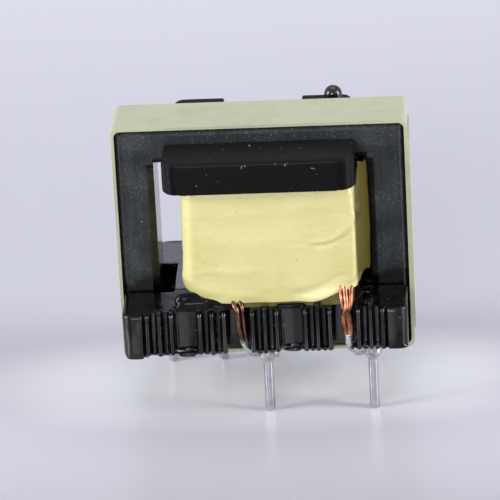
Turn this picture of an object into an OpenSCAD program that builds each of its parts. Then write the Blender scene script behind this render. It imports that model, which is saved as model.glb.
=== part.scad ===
// Small switching transformer for a printed circuit board: two ferrite E halves
// clamped by a band of tape on a pin-through-hole bobbin. The primary is wound
// in two halves next to the tube, the secondary in three strands over them.
// The origin is the middle of the seat, where the taped underside of the core
// meets the board. X runs along the pin rows, +Z points away from the board and
// the secondary side faces -Y.

/* [Ferrite core] */
// Width of each E half, across its three legs
core_w = 19.2; // [18.6:0.1:21]
// Thickness of the core, front to back
core_t = 4.85; // [4.5:0.05:5.6]
// Height of one E half
half_h = 7.9; // [7.6:0.1:9]
// Width of an outer leg
leg_w = 2.5; // [2.1:0.05:2.5]
// Height of the bar that joins the legs
bar_h = 2.35; // [2:0.05:2.6]
// Width of the centre leg
centre_w = 4.8; // [4.2:0.1:5]
// Air gap ground into the centre leg of the upper half
air_gap = 0.12; // [0.02:0.02:0.3]
// Radius of the core's outer corners
core_corner_r = 0.4; // [0.2:0.05:0.6]
// Chamfer along the pressed edges of the outer faces
core_chamfer = 0.36; // [0.1:0.02:0.4]
// Chamfer along the edges of the windows
window_chamfer = 0.45; // [0.1:0.05:0.5]

/* [Core tape] */
// Thickness of the band wound round the core
band_t = 0.2; // [0.1:0.02:0.3]
// Width of the band
band_w = 4.7; // [4:0.05:4.8]
// Radius of the band's outer corners
band_corner_r = 0.42; // [0.3:0.02:0.6]
// Extra thickness where the band's end laps over its start
lap_t = 0.12; // [0.05:0.01:0.2]
// Height of the lap, centred on the right-hand side
lap_h = 13.4; // [4:0.1:14]

/* [Bobbin] */
// Gap between the centre leg and the tube round it
tunnel_gap = 0.15; // [0.05:0.01:0.2]
// Wall of the tube
tube_wall = 0.7; // [0.5:0.05:0.7]
// Gap between a core face and the rails and bars that stand beside it
face_gap = 0.12; // [0.05:0.01:0.2]
// Gap between the lower bar of the core and the foot plate
plate_gap = 0.1; // [0.05:0.01:0.2]
// Thickness of the foot plate
plate_t = 1.95; // [1.2:0.05:2.2]
// Gap at each end of the foot plate, through which the core's lower bar shows
plate_side_gap = 0.9; // [0.4:0.05:1.1]
// Gap between the upper bar of the core and the top flange
flange_gap = 0.15; // [0.05:0.01:0.25]
// Thickness of the top flange
flange_t = 0.6; // [0.5:0.05:0.8]
// Gap between each end of the top flange and the leg beside it
flange_side_gap = 0.75; // [0.4:0.05:0.9]
// How far the top flange stands out from the middle of the core
flange_reach = 6.4; // [6.3:0.05:6.9]
// Height of the bars along the top flange, measured from its underside
bar_rise = 2.2; // [1.6:0.05:2.6]
// Radius of the corners of the top flange, seen from above
flange_corner_r = 1.2; // [0.5:0.1:1.5]
// Rounding along the edges of the bars and rails
edge_r = 0.25; // [0.1:0.05:0.3]
// Gap in the middle of the rear bar, between its two ears
ear_gap = 5.3; // [4:0.1:7]
// How far the ears stop short of the ends of the top flange
ear_inset = 0.25; // [0.1:0.05:0.7]

/* [Marking peg] */
// Diameter of the domed peg on the rear bar
peg_d = 1.25; // [0.9:0.05:1.6]
// Distance of the peg from the end of the ear that it stands on
peg_inset = 1.3; // [0.8:0.1:1.8]
// Height of the peg above the bar, dome included
peg_rise = 1.05; // [0.9:0.05:1.5]

/* [Pin rails] */
// Height of the rails
rail_h = 2.9; // [2.6:0.05:3]
// Distance from the pins to the front of the guide ribs
rail_reach = 2.4; // [2.2:0.05:2.8]
// How far the ends of the rails stop short of the sides of the core
rail_inset = 0.15; // [0:0.05:0.5]
// Radius of the rail's outer corners, seen from above
rail_corner_r = 0.8; // [0.3:0.05:1]
// Width of a guide rib
rib_w = 0.46; // [0.4:0.01:0.5]
// Rounding of the ribs' front corners
rib_r = 0.13; // [0.05:0.01:0.18]
// Distance between neighbouring ribs
rib_pitch = 0.8; // [0.7:0.01:0.85]
// How far the ribs stand out of the rail
rib_reach = 0.5; // [0.3:0.05:0.8]
// How far the middle rib of each group rises above the foot plate, left to right
guard_rise = [0.28, 0, 0.34, 0.5, 0.5];
// Depth of the wire slots between the pins, from the front of the ribs
slot_depth = 1.55; // [1:0.05:1.7]

/* [Pins] */
// Diameter of the tinned part of a pin
pin_d = 0.65; // [0.6:0.01:0.7]
// Diameter of the wire inside the tin
pin_core_d = 0.6; // [0.5:0.01:0.6]
// Distance between pin positions along a row
pin_pitch = 3.5; // [3.4:0.05:3.7]
// Distance between the two rows
row_pitch = 9; // [8.6:0.1:9.4]
// How far the pins reach below the seat
pin_below = 3.4; // [2.5:0.1:4.5]
// How far the pins are pressed into the rail
pin_press = 2.3; // [1.5:0.1:2.5]
// Play all round a pin in its hole
pin_play = 0.01; // [0:0.01:0.03]
// Rounding at the tip of a pin
tip_r = 0.15; // [0.05:0.05:0.25]

/* [Soldered joints] */
// Diameter of the wrapped and soldered collar under the rail
joint_d = 1.46; // [1.2:0.02:1.6]
// Height of the wrapped turns
wrap_h = 0.96; // [0.8:0.02:1]
// Height of the solder cone below the wrapped turns
cone_h = 0.64; // [0.4:0.02:0.7]

/* [Windings] */
// Diameter of a secondary strand
secondary_d = 0.32; // [0.25:0.01:0.34]
// Diameter of the primary wire
primary_d = 0.2; // [0.15:0.01:0.25]
// Height of the channel under the layers, where the primary leads come out
channel_h = 0.37; // [0.35:0.01:0.5]
// Gap between the layers and the top flange
head_gap = 0.12; // [0.05:0.01:0.3]
// Thickness of the tape between the windings
insulation_t = 0.12; // [0.05:0.01:0.15]
// Play between a layer and the tape round it
layer_play = 0.01; // [0:0.01:0.02]
// How the room between the tube and the left leg is shared by the inner
// primary, the outer primary, the margin tape, the outer tape and a free gap
left_shares = [0.62, 0.5, 0.07, 0.16, 1.88];
// The same for the right leg
right_shares = [0.9, 0.85, 0.32, 0.42, 0.74];
// Share of the free gap on the right that the secondary's bowed side takes up
bow_share = 0.743; // [0.2:0.01:0.75]
// Bow of the secondary's other sides
flat_bow = 0.02; // [0:0.01:0.05]
// Builds at the front of the inner primary, outer primary, margin and outer tape
front_builds = [0.75, 0.65, 0.26, 0.33];
// The same at the rear
rear_builds = [0.62, 0.5, 0.07, 0.2];
// Height of the margin tape under the secondary
margin_h = 1.05; // [0.8:0.05:1.5]
// Thickness of the outer tape where it closes over the top of the secondary
lip_t = 0.14; // [0.08:0.02:0.2]
// Extra build at half height, where the outer tape is crowned
crown = 0.06; // [0:0.01:0.07]
// Extra build of the outer tape low on its left
sag = 0.34; // [0:0.02:0.4]
// How far the outer tape lifts where the secondary leads come out
lift_h = 1; // [0:0.05:1]
// How far in from the secondary's right side its finish comes out
finish_inset = 0.59; // [0.5:0.01:0.8]
// Distance between the strands of the secondary where they leave it
strand_gap = 0.35; // [0.33:0.01:0.38]
// Distance between them in their slot, where the middle one lies behind
bundle_gap = 0.2; // [0.18:0.01:0.22]

/* [Hidden] */
$fn = 48;
FRONT = -1;
REAR = 1;
ALL_ROUND = [1, 1, 1, 1];
positions = len(guard_rise);
eps = 0.01;

// Core
window_w = core_w - 2 * leg_w;
window_x = (centre_w + window_w) / 4;
core_z0 = band_t;
core_z1 = core_z0 + 2 * half_h;
parting_z = core_z0 + half_h;
face_y = core_t / 2 + face_gap;

// Bobbin
tunnel_x = centre_w / 2 + tunnel_gap;
tunnel_y = core_t / 2 + tunnel_gap;
tube_r = 0.5;
tube = [-tunnel_x - tube_wall, tunnel_x + tube_wall, -tunnel_y - tube_wall, tunnel_y + tube_wall];
plate_z0 = core_z0 + bar_h + plate_gap;
plate_z1 = plate_z0 + plate_t;
flange_z1 = core_z1 - bar_h - flange_gap;
flange_z0 = flange_z1 - flange_t;
flange_x = window_w / 2 - flange_side_gap;
ear_x = flange_x - ear_inset;
peg_x = ear_x - peg_inset;
bar_z1 = flange_z0 + bar_rise;

// Rails and pins
pin_y = row_pitch / 2;
rail_y = pin_y + rail_reach;
rail_x = core_w / 2 - rail_inset;
rail_z0 = plate_z1 - rail_h;
slot_w = pin_pitch - 2 * rib_pitch - rib_w;
slot_y = rail_y - slot_depth;
joint_z0 = rail_z0 - wrap_h - cone_h;

// Winding layers: [left, right, front, rear] limits and corner radius of each.
// The secondary is one strand deep, and what is left of the window is shared.
strand_build = secondary_d + 6 * eps;
winding_room = window_w / 2 - tube[1] - 2 * insulation_t - strand_build;
layer_z0 = plate_z1 + channel_h;
layer_z1 = flange_z0 - head_gap;
margin_z1 = layer_z0 + margin_h;
secondary_z1 = layer_z1 - lip_t;
play = ALL_ROUND * layer_play;
primary_a = grown(tube, builds(0));
tape_a = grown(primary_a, ALL_ROUND * insulation_t);
primary_b = grown(tape_a, builds(1));
tape_b = grown(primary_b, ALL_ROUND * insulation_t);
margin = grown(tape_b, builds(2));
secondary = grown(margin, ALL_ROUND * strand_build);
outside = grown(secondary, builds(3));
secondary_bow = [flat_bow, bow_share * builds(4)[1], flat_bow, flat_bow];
primary_a_r = tube_r + front_builds[0];
tape_a_r = primary_a_r + insulation_t;
primary_b_r = tape_a_r + rear_builds[1] + 0.1;
tape_b_r = primary_b_r + insulation_t;
margin_r = tape_b_r + 0.1;
secondary_r = tape_b_r + strand_build - 0.03;
outside_r = 1.2;

// Outer tape: how far its edges tuck in, the corner radius and height of its
// hem at the bottom, and the height over which its corners tighten
tuck = 0.08;
hem_r = 2.3;
hem_h = 0.3;
shoulder_h = 1.4;

// Primary leads: X where each leaves its winding, and its offset in its slot
inner_start = [-3, -0.3];
inner_finish = [-1.2, -0.35];
outer_start = [-2.4, 0.3];
outer_finish = [-0.8, 0.3];

// Where the strands of the secondary leave it, and where they enter their slots
start_x = slot_x(2);
finish_x = secondary[1] - finish_inset;
finish_slot_x = slot_x(4) + bundle_gap / 2;
behind = [0, 0.3, 0];
// Where the outer tape lifts most, and how far round that it is lifted
lift_at = [finish_x + 0.15, secondary[2] + 0.7];
lift_reach = 2.7;

// ---------------------------------------------------------------- functions

// X of a numbered pin position, counted from the left
function pin_x(number) = (number - (positions + 1) / 2) * pin_pitch;

// X of the wire slot that follows a numbered pin position
function slot_x(number) = pin_x(number) + pin_pitch / 2;

function total(list) = list * [for (k = list) 1];

// Builds of one layer on its left, right, front and rear
function builds(layer) = [left_shares[layer] * winding_room / total(left_shares),
    right_shares[layer] * winding_room / total(right_shares),
    front_builds[layer], rear_builds[layer]];

// Limits pushed outwards by a build on each side
function grown(limits, build) = [limits[0] - build[0], limits[1] + build[1],
    limits[2] - build[2], limits[3] + build[3]];

// One point on a corner of a rounded rectangle; corners are counted
// anticlockwise and a bore keeps its facets outside the true arc
function corner_point(limits, r, c, k, per_corner, bore) =
    let (step = 90 / (bore ? per_corner : per_corner - 1),
         a = 90 * c + (bore ? k + 0.5 : k) * step,
         reach = bore ? r / cos(step / 2) : r,
         x = c == 0 || c == 3 ? limits[1] - r : limits[0] + r,
         y = c < 2 ? limits[3] - r : limits[2] + r)
    [x + reach * cos(a), y + reach * sin(a)];

// A rounded rectangle as points at height z. A bow, if there is one, gives its
// left, right, front and rear sides two more points each and pushes them out.
function ring(limits, r, z, bow = [], per_corner = 3, bore = false) =
    [for (c = [0:3])
        let (p = corner_point(limits, r, c, per_corner - 1, per_corner, bore),
             q = corner_point(limits, r, (c + 1) % 4, 0, per_corner, bore),
             side = [cos(90 * (c + 1)), sin(90 * (c + 1))])
        each concat(
            [for (k = [0:per_corner - 1])
                concat(corner_point(limits, r, c, k, per_corner, bore), z)],
            [for (t = bow == [] ? [] : [0.2, 0.8])
                concat(p + (q - p) * t + side * bow[[3, 0, 2, 1][c]], z)])];

// Points raised round the exit of the secondary's finish, most at the exit
function lifted(points) =
    [for (p = points)
        let (near = max(0, 1 - norm([p[0], p[1]] - lift_at) / lift_reach))
        p + [0, 0, lift_h * near * near * (3 - 2 * near)]];

// Place under the secondary's front surface, in from its point at a given x
function under_secondary(x, depth) =
    let (side = max(0, x - secondary[1] + secondary_r) / secondary_r)
    [x - depth * side, secondary[2] + secondary_r - (secondary_r - depth) * sqrt(1 - side * side)];

function unit(v) = v / norm(v);

// Direction of a path at one of its points
function heading(path, i) =
    i == 0 ? unit(path[1] - path[0])
    : i == len(path) - 1 ? unit(path[i] - path[i - 1])
    : unit(unit(path[i + 1] - path[i]) + unit(path[i] - path[i - 1]));

// Normals carried along a path without twisting
function normals(path, i = 0, last = [1, 0, 0]) =
    i == len(path) ? []
    : let (t = heading(path, i), n = unit(last - (last * t) * t))
      concat([n], normals(path, i + 1, n));

// A point on a smooth curve through a, b, c and d, part of the way from b to c
function between(a, b, c, d, t) = 0.5 * (2 * b + (c - a) * t
    + (2 * a - 5 * b + 4 * c - d) * t * t + (3 * b - a - 3 * c + d) * t * t * t);

// A path with points added halfway along its smooth curve
function smoothed(p) =
    concat([for (i = [0:len(p) - 2], t = [0, 0.5])
        between(p[max(i - 1, 0)], p[i], p[i + 1], p[min(i + 2, len(p) - 1)], t)],
        [p[len(p) - 1]]);

// Route of a lead from the front or rear row, after it has left its winding:
// over the lip of its slot, down the slot, then under the rail to its pin. The
// turn is the wrapped turn of the joint, counted from the rail, that it feeds.
function slot_route(row, top_x, foot_x, deep, pin, turn, d) =
    let (out = rail_y - rib_w - deep, wrap_z = rail_z0 - (turn + 0.5) * d - 3 * eps, pin_at = pin_x(pin),
         way = unit([foot_x - pin_at, out - pin_y]))
    [for (p = [
        [top_x, out - d, plate_z1 + d * 0.3],
        [top_x, out, plate_z1 - rail_h * 0.14],
        [top_x + (foot_x - top_x) * 0.4, out, plate_z1 - rail_h * 0.42],
        [top_x + (foot_x - top_x) * 0.85, out, plate_z1 - rail_h * 0.75],
        [foot_x, out - d * 0.3, rail_z0 + d * 0.3],
        [foot_x + (pin_at - foot_x) * 0.2, out - (out - pin_y) * 0.25, (rail_z0 + wrap_z) / 2 - d * 0.6],
        [pin_at + way[0] * joint_d * 0.6, pin_y + way[1] * joint_d * 0.6, wrap_z],
        [pin_at + way[0] * joint_d * 0.28, pin_y + way[1] * joint_d * 0.28, wrap_z]])
        [p[0], row * p[1], p[2]]];

// ---------------------------------------------------------- general modules

// Skin over rings that close on themselves, like the wall of a tube
module closed_skin(rings) {
    n = len(rings[0]);
    m = len(rings);
    polyhedron(
        points = [for (r = rings, p = r) p],
        faces = [for (i = [0:m - 1], j = [0:n - 1])
            let (a = i * n + j, b = i * n + (j + 1) % n,
                 c = ((i + 1) % m) * n + j, d = ((i + 1) % m) * n + (j + 1) % n)
            each [[a, d, b], [a, c, d]]]);
}

// Round wire swept along a path
module wire(path, d, sides = 8) {
    frames = normals(path);
    n = len(path);
    polyhedron(
        points = [for (i = [0:n - 1], k = [0:sides - 1])
            let (t = heading(path, i), a = 360 * k / sides)
            path[i] + d / 2 * (cos(a) * frames[i] + sin(a) * cross(t, frames[i]))],
        faces = concat(
            [[for (k = [0:sides - 1]) k]],
            [for (i = [0:n - 2], k = [0:sides - 1])
                let (a = i * sides + k, b = i * sides + (k + 1) % sides)
                each [[a, a + sides, b], [b, a + sides, b + sides]]],
            [[for (k = [sides - 1:-1:0]) (n - 1) * sides + k]]));
}

// Rectangle with rounded corners, from its limits
module rounded(limits, r) {
    w = limits[1] - limits[0];
    h = limits[3] - limits[2];
    translate([limits[0], limits[2]]) {
        translate([r, 0]) square([w - 2 * r, h]);
        translate([0, r]) square([w, h - 2 * r]);
        for (x = [r, w - r], y = [r, h - r]) translate([x, y]) circle(r);
    }
}

// Layer of tape wound between two limits
module tape_layer(inner, inner_r, outer, outer_r, z0, z1) {
    translate([0, 0, z0]) linear_extrude(z1 - z0) difference() {
        rounded(outer, outer_r);
        rounded(grown(inner, play), inner_r + layer_play);
    }
}

// Wound coil with a groove between its turns
module coil(inner, inner_r, outer, outer_r, wire_d, z0, z1, bow = [], n = 3) {
    turns = floor((z1 - z0) / wire_d);
    pitch = (z1 - z0) / turns;
    crest = grown(outer, -play);
    groove = grown(crest, ALL_ROUND * -wire_d / 4);
    closed_skin(concat(
        [for (i = [0:turns - 1]) each [
            ring(groove, outer_r, z0 + i * pitch, bow, n),
            ring(crest, outer_r, z0 + (i + 0.5) * pitch, bow, n)]],
        [ring(groove, outer_r, z1, bow, n),
         ring(inner, inner_r, z1, bow * 0, n, true),
         ring(inner, inner_r, z0, bow * 0, n, true)]));
}

// --------------------------------------------------------------------- core

// Outline of an E half, standing on its bar with its legs up
module e_outline(gap) {
    difference() {
        union() {
            translate([-core_w / 2, core_corner_r]) square([core_w, half_h - core_corner_r]);
            translate([core_corner_r - core_w / 2, 0]) square([core_w - 2 * core_corner_r, half_h]);
            for (side = [-1, 1]) translate([side * (core_w / 2 - core_corner_r), core_corner_r])
                circle(core_corner_r);
        }
        for (side = [-1, 1]) translate([side * window_x - (window_w - centre_w) / 4, bar_h])
            square([(window_w - centre_w) / 2, half_h]);
        translate([-centre_w / 2 - eps, half_h - gap]) square([centre_w + 2 * eps, 1]);
    }
}

// Rectangle with its corners cut off, centred
module cut_rectangle(w, h, cut) {
    polygon([[cut - w / 2, -h / 2], [w / 2 - cut, -h / 2], [w / 2, cut - h / 2], [w / 2, h / 2 - cut],
        [w / 2 - cut, h / 2], [cut - w / 2, h / 2], [-w / 2, h / 2 - cut], [-w / 2, cut - h / 2]]);
}

// Window opening that flares towards the faces of the core
module window_flare(w) {
    for (face = [-1, 1]) translate([0, face * core_t / 2])
        polygon([[-w / 2 - window_chamfer - eps, face * eps], [w / 2 + window_chamfer + eps, face * eps],
            [w / 2, -face * window_chamfer], [-w / 2, -face * window_chamfer]]);
}

// One E half with its bar at z = 0 and its legs up
module e_half(gap) {
    window_half = (window_w - centre_w) / 4;
    difference() {
        intersection() {
            rotate([90, 0, 0]) translate([0, 0, -core_t / 2]) linear_extrude(core_t) e_outline(gap);
            linear_extrude(half_h) cut_rectangle(core_w, core_t, core_chamfer);
            rotate([90, 0, 90]) translate([0, half_h, -core_w / 2]) linear_extrude(core_w)
                cut_rectangle(core_t, 2 * half_h, core_chamfer);
        }
        for (side = [-1, 1]) translate([side * window_x, 0, 0]) {
            translate([0, 0, bar_h]) linear_extrude(half_h) window_flare(2 * window_half);
            rotate([90, 0, 90]) translate([0, bar_h, -window_half]) linear_extrude(2 * window_half)
                for (face = [-1, 1]) translate([face * core_t / 2, 0])
                    polygon([[face * eps, -window_chamfer - eps], [face * eps, eps],
                        [-face * window_chamfer, eps], [-face * window_chamfer, 0]]);
        }
    }
}

module core_lower() {
    color("#23282a") translate([0, 0, core_z0]) e_half(0);
}

module core_upper() {
    color("#23282a") translate([0, 0, core_z1]) mirror([0, 0, 1]) e_half(air_gap);
}

// Band round the core, with its end lapped over its start on the right
module core_tape() {
    x = core_w / 2;
    color("#c6c89f") rotate([90, 0, 0]) translate([0, 0, -band_w / 2]) linear_extrude(band_w) {
        difference() {
            rounded([-x - band_t, x + band_t, core_z0 - band_t, core_z1 + band_t], band_corner_r);
            rounded([-x, x, core_z0, core_z1], core_corner_r);
        }
        translate([x + band_t - eps, parting_z - lap_h / 2]) square([lap_t + eps, lap_h]);
    }
}

// ------------------------------------------------------------------- bobbin

// Beam along the bobbin whose section has its outer edges rounded
module beam(y0, y1, z0, z1) {
    translate([-rail_x - 1, 0, 0]) rotate([90, 0, 90]) linear_extrude(2 * rail_x + 2) {
        translate([y0, z0]) square([y1 - y0 - edge_r, z1 - z0]);
        translate([y0, z0 + edge_r]) square([y1 - y0, z1 - z0 - 2 * edge_r]);
        for (z = [z0 + edge_r, z1 - edge_r]) translate([y1 - edge_r, z]) circle(edge_r);
    }
}

// One guide rib, seen from above
module rib(x) {
    rounded([x - rib_w / 2, x + rib_w / 2, rail_y - rib_reach - rib_r, rail_y], rib_r);
}

// Solid block at one end of a rail, seen from above
module end_block() {
    x0 = pin_x(positions) + rib_pitch - rib_w / 2;
    r = min(rail_corner_r, (rail_x - x0) * 0.45);
    rounded([x0, rail_x, face_y, rail_y], r);
    rounded([x0, rail_x - r, face_y, rail_y], rib_r);
    translate([x0, face_y]) square([rail_x - x0, r]);
}

// Outline of a pin rail, seen from above
module rail_outline() {
    difference() {
        translate([-rail_x + edge_r, face_y])
            square([2 * (rail_x - edge_r), rail_y - rib_reach - face_y]);
        for (number = [1:positions - 1]) translate([slot_x(number) - slot_w / 2, slot_y])
            square([slot_w, slot_depth]);
    }
    for (side = [0, 1]) mirror([side, 0]) end_block();
    for (number = [1:positions], k = [-1, 0, 1]) {
        x = pin_x(number) + k * rib_pitch;
        if (abs(x) < pin_x(positions) + rib_pitch / 2) rib(x);
    }
}

// Pin rail at the rear; the rises are those of its middle ribs, left to right
module rail(rises) {
    intersection() {
        translate([0, 0, rail_z0]) linear_extrude(rail_h) rail_outline();
        beam(face_y, rail_y, rail_z0, plate_z1);
    }
    for (number = [1:positions]) if (rises[number - 1] > 0) intersection() {
        translate([0, 0, plate_z1 - rail_h / 2]) linear_extrude(rail_h) rib(pin_x(number));
        beam(face_y, rail_y, rail_z0, plate_z1 + rises[number - 1]);
    }
}

// Bar that stiffens the top flange, at the rear, reaching x to either side
module top_bar(x) {
    intersection() {
        translate([0, 0, flange_z0]) linear_extrude(bar_rise) intersection() {
            rounded([-x, x, -flange_reach, flange_reach], flange_corner_r);
            translate([-x, face_y]) square([2 * x, flange_reach - face_y]);
        }
        beam(face_y, flange_reach, flange_z0 - 1, bar_z1);
        translate([0, flange_reach + 1, 0]) rotate([90, 0, 0]) linear_extrude(flange_reach + 1)
            rounded([-x, x, flange_z0 - 1, bar_z1], edge_r);
    }
}

// Domed peg that marks one end of the rear bar
module peg() {
    translate([peg_x, (face_y + flange_reach) / 2 + peg_d / 2, bar_z1 - eps]) {
        cylinder(d = peg_d, h = peg_rise - peg_d / 2 + eps);
        translate([0, 0, peg_rise - peg_d / 2 + eps]) sphere(d = peg_d);
    }
}

module bobbin() {
    plate_x = window_w / 2 - plate_side_gap;
    color("#141416") difference() {
        union() {
            translate([0, 0, plate_z0]) linear_extrude(flange_z1 - plate_z0) rounded(tube, tube_r);
            translate([-plate_x, -face_y - eps, plate_z0]) cube([2 * plate_x, 2 * (face_y + eps), plate_t]);
            rail([for (k = [1:positions]) 0]);
            mirror([0, 1, 0]) rail(guard_rise);
            translate([0, 0, flange_z0]) linear_extrude(flange_t)
                rounded([-flange_x, flange_x, -flange_reach, flange_reach], flange_corner_r);
            mirror([0, 1, 0]) top_bar(flange_x);
            difference() {
                top_bar(ear_x);
                translate([-ear_gap / 2, face_y - eps, flange_z1]) cube([ear_gap, flange_reach, bar_rise]);
            }
            peg();
        }
        translate([-tunnel_x, -tunnel_y, 0]) cube([2 * tunnel_x, 2 * tunnel_y, core_z1]);
        for (row = [FRONT, REAR], number = [1:positions])
            translate([pin_x(number), row * pin_y, rail_z0 - eps])
                cylinder(d = pin_core_d + 2 * pin_play, h = pin_press + eps);
    }
}

// ------------------------------------------------------------------- leads

// Primary lead at the rear, out through the channel under the layers
module primary_lead(exit, y, slot, pin, turn) {
    from = [exit[0], y - 1.5 * primary_d];
    x = slot_x(slot) + exit[1];
    lay = plate_z1 + primary_d / 2 + 4 * eps;
    wire(smoothed(concat([
        [from[0], from[1], layer_z0 + primary_d],
        [from[0], from[1] + primary_d * 0.6, lay + primary_d * 0.6],
        [from[0] + (x - from[0]) * 0.3, from[1] + primary_d * 2, lay],
        [x + (from[0] - x) * 0.15, slot_y - primary_d, lay]],
        slot_route(REAR, x, x, 0, pin, turn, primary_d))), primary_d);
}

// Strands of the secondary's start: down behind the outer tape, then the slot
module secondary_start() {
    y = secondary[2] + secondary_d / 2 + 2 * eps;
    under = layer_z0 - secondary_d / 2 - eps;
    for (k = [0:2]) {
        x = start_x + (k - 1) * strand_gap;
        slot = start_x + (k - 1) * bundle_gap;
        wire(smoothed(concat([
            [x, y, margin_z1 + secondary_d],
            [x, y, (margin_z1 + layer_z0) / 2],
            [x, y, layer_z0 + secondary_d * 0.25],
            [x, y - secondary_d * 0.35, under]],
            slot_route(FRONT, slot, slot + 0.3, behind[k], 3, k, secondary_d))), secondary_d);
    }
}

// Strands of the secondary's finish: out under the lifted tape, then the slot
module secondary_finish() {
    for (k = [0:2]) {
        from = under_secondary(finish_x + (k - 1) * strand_gap, secondary_d * 0.6);
        slot = finish_slot_x + (k - 1) * bundle_gap;
        wire(smoothed(concat([
            [from[0], from[1], margin_z1 + secondary_d],
            [from[0], from[1], margin_z1 - secondary_d * 0.6],
            [from[0], from[1] - secondary_d, margin_z1 - secondary_d * 1.6],
            [(from[0] + slot) / 2, (from[1] - slot_y) / 2, layer_z0 + secondary_d * 0.4]],
            slot_route(FRONT, slot, slot + 0.1, behind[k], 5, k, secondary_d))), secondary_d);
    }
}

// ----------------------------------------------------------------- windings

module primary_inner_start() {
    primary_lead(inner_start, primary_a[3], 1, 1, 0);
}

module primary_inner_finish() {
    primary_lead(inner_finish, primary_a[3], 2, 2, 0);
}

module primary_outer_start() {
    primary_lead(outer_start, primary_b[3], 1, 2, 2);
}

module primary_outer_finish() {
    primary_lead(outer_finish, primary_b[3], 2, 3, 0);
}

module primary_inner() {
    color("#b4552d") {
        coil(tube, tube_r, primary_a, primary_a_r, primary_d, layer_z0, layer_z1);
        primary_inner_start();
        primary_inner_finish();
    }
}

module insulation_inner() {
    color("#e0d98c") tape_layer(primary_a, primary_a_r, tape_a, tape_a_r, layer_z0, layer_z1);
}

module primary_outer() {
    color("#b4552d") {
        coil(tape_a, tape_a_r, primary_b, primary_b_r, primary_d, layer_z0, layer_z1);
        primary_outer_start();
        primary_outer_finish();
    }
}

module insulation_outer() {
    color("#e0d98c") tape_layer(primary_b, primary_b_r, tape_b, tape_b_r, layer_z0, layer_z1);
}

module margin_tape() {
    color("#e0d98c") tape_layer(tape_b, tape_b_r, margin, margin_r, layer_z0, margin_z1 - eps);
}

module secondary_winding() {
    color("#c86a34") {
        coil(tape_b, tape_b_r, secondary, secondary_r, secondary_d, margin_z1, secondary_z1,
            secondary_bow, 4);
        secondary_start();
        secondary_finish();
    }
}

// Tape over the windings, crowned at half height and lifted over the leads
module outer_tape() {
    low = grown(outside, [sag, 0, 0, 0]);
    mid = grown(outside, [sag * 0.6, crown, crown, crown]);
    mid_z = (layer_z0 + layer_z1) / 2;
    lip = grown(tape_b, ALL_ROUND * 3 * eps);
    bow = secondary_bow;
    n = 8;
    color("#ddd796") closed_skin([
        lifted(ring(grown(low, ALL_ROUND * -tuck), hem_r, layer_z0, bow, n)),
        lifted(ring(low, hem_r - 0.1, layer_z0 + hem_h, bow, n)),
        lifted(ring(grown(low, [0, crown, crown, crown]), hem_r - 0.5, layer_z0 + shoulder_h, bow, n)),
        ring(mid, outside_r, mid_z, bow, n),
        ring(outside, outside_r, layer_z1 - shoulder_h, bow, n),
        ring(grown(outside, ALL_ROUND * -tuck / 2), outside_r, secondary_z1, bow, n),
        ring(grown(outside, ALL_ROUND * -tuck * 2), outside_r, layer_z1, bow, n),
        ring(lip, tape_b_r, layer_z1, bow * 0, n, true),
        ring(lip, tape_b_r, secondary_z1 + eps, bow * 0, n, true),
        ring(secondary, secondary_r, secondary_z1 + eps, bow, n, true),
        lifted(ring(secondary, secondary_r, layer_z0, bow, n, true))]);
}

// --------------------------------------------------------- pins and joints

// Pin with its tinned end down and its bare end pressed into the rail; the tin
// thins out under the wrapped turns
module pin(row, number) {
    r = pin_d / 2;
    color("#c9cbd0") translate([pin_x(number), row * pin_y, 0]) {
        translate([0, 0, tip_r - pin_below]) cylinder(r = r, h = joint_z0 + pin_below - tip_r);
        translate([0, 0, -pin_below]) rotate_extrude() {
            square([r - tip_r, tip_r]);
            translate([r - tip_r, tip_r]) intersection() {
                circle(tip_r);
                translate([0, -tip_r]) square(tip_r);
            }
        }
        translate([0, 0, joint_z0]) cylinder(d1 = pin_d, d2 = pin_core_d, h = rail_z0 - joint_z0);
        translate([0, 0, rail_z0]) cylinder(d = pin_core_d, h = pin_press);
    }
}

// Wrapped turns and solder cone round a pin, under the rail, without the leads
// that enter them
module joint(row, number, wire_d) {
    fillet = (joint_d - pin_d) / 14;
    turns = round(wrap_h / wire_d);
    pitch = wrap_h / turns;
    core_r = pin_core_d / 2;
    collar_r = joint_d / 2 - pitch / 4;
    cone_z = joint_z0 + cone_h;
    color("#a9abad") difference() {
        translate([pin_x(number), row * pin_y, 0]) rotate_extrude() {
            polygon([[pin_d / 2, joint_z0], [pin_d / 2 + fillet, cone_z - cone_h * 0.75],
                [collar_r - fillet, cone_z - cone_h * 0.12], [collar_r, cone_z + pitch / 2],
                [collar_r, rail_z0], [core_r, rail_z0]]);
            for (k = [0:turns - 1]) translate([joint_d / 2 - pitch / 2, rail_z0 - (k + 0.5) * pitch])
                circle(d = pitch);
        }
        children();
    }
}

core_lower();
core_upper();
core_tape();
bobbin();
primary_inner();
insulation_inner();
primary_outer();
insulation_outer();
margin_tape();
secondary_winding();
outer_tape();
pin(FRONT, 3);  // pin_front_3
pin(FRONT, 5);  // pin_front_5
pin(REAR, 1);  // pin_rear_1
pin(REAR, 2);  // pin_rear_2
pin(REAR, 3);  // pin_rear_3
joint(FRONT, 3, secondary_d) secondary_start();  // joint_front_3
joint(FRONT, 5, secondary_d) secondary_finish();  // joint_front_5
joint(REAR, 1, primary_d) primary_inner_start();  // joint_rear_1
joint(REAR, 2, primary_d) {  // joint_rear_2
    primary_inner_finish();
    primary_outer_start();
}
joint(REAR, 3, primary_d) primary_outer_finish();  // joint_rear_3
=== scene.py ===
# %% [markdown]
# # A small switching transformer, dressed for a studio shot
#
# The solid model gives every part its place: two ferrite E halves, a band of
# tape round them, a black bobbin with pin rails, the windings and the pins. What
# a solid model can't give is the surface: varnish that has run into corners,
# tape that creases, solder, enamel and ground ferrite. This lesson makes those.
#
# Everything is in metres and in the frame of the solid model: X runs along the
# pin rows, the secondary side faces -Y and Z is up. `mm` turns the small sizes
# into metres where they are written.

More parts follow.
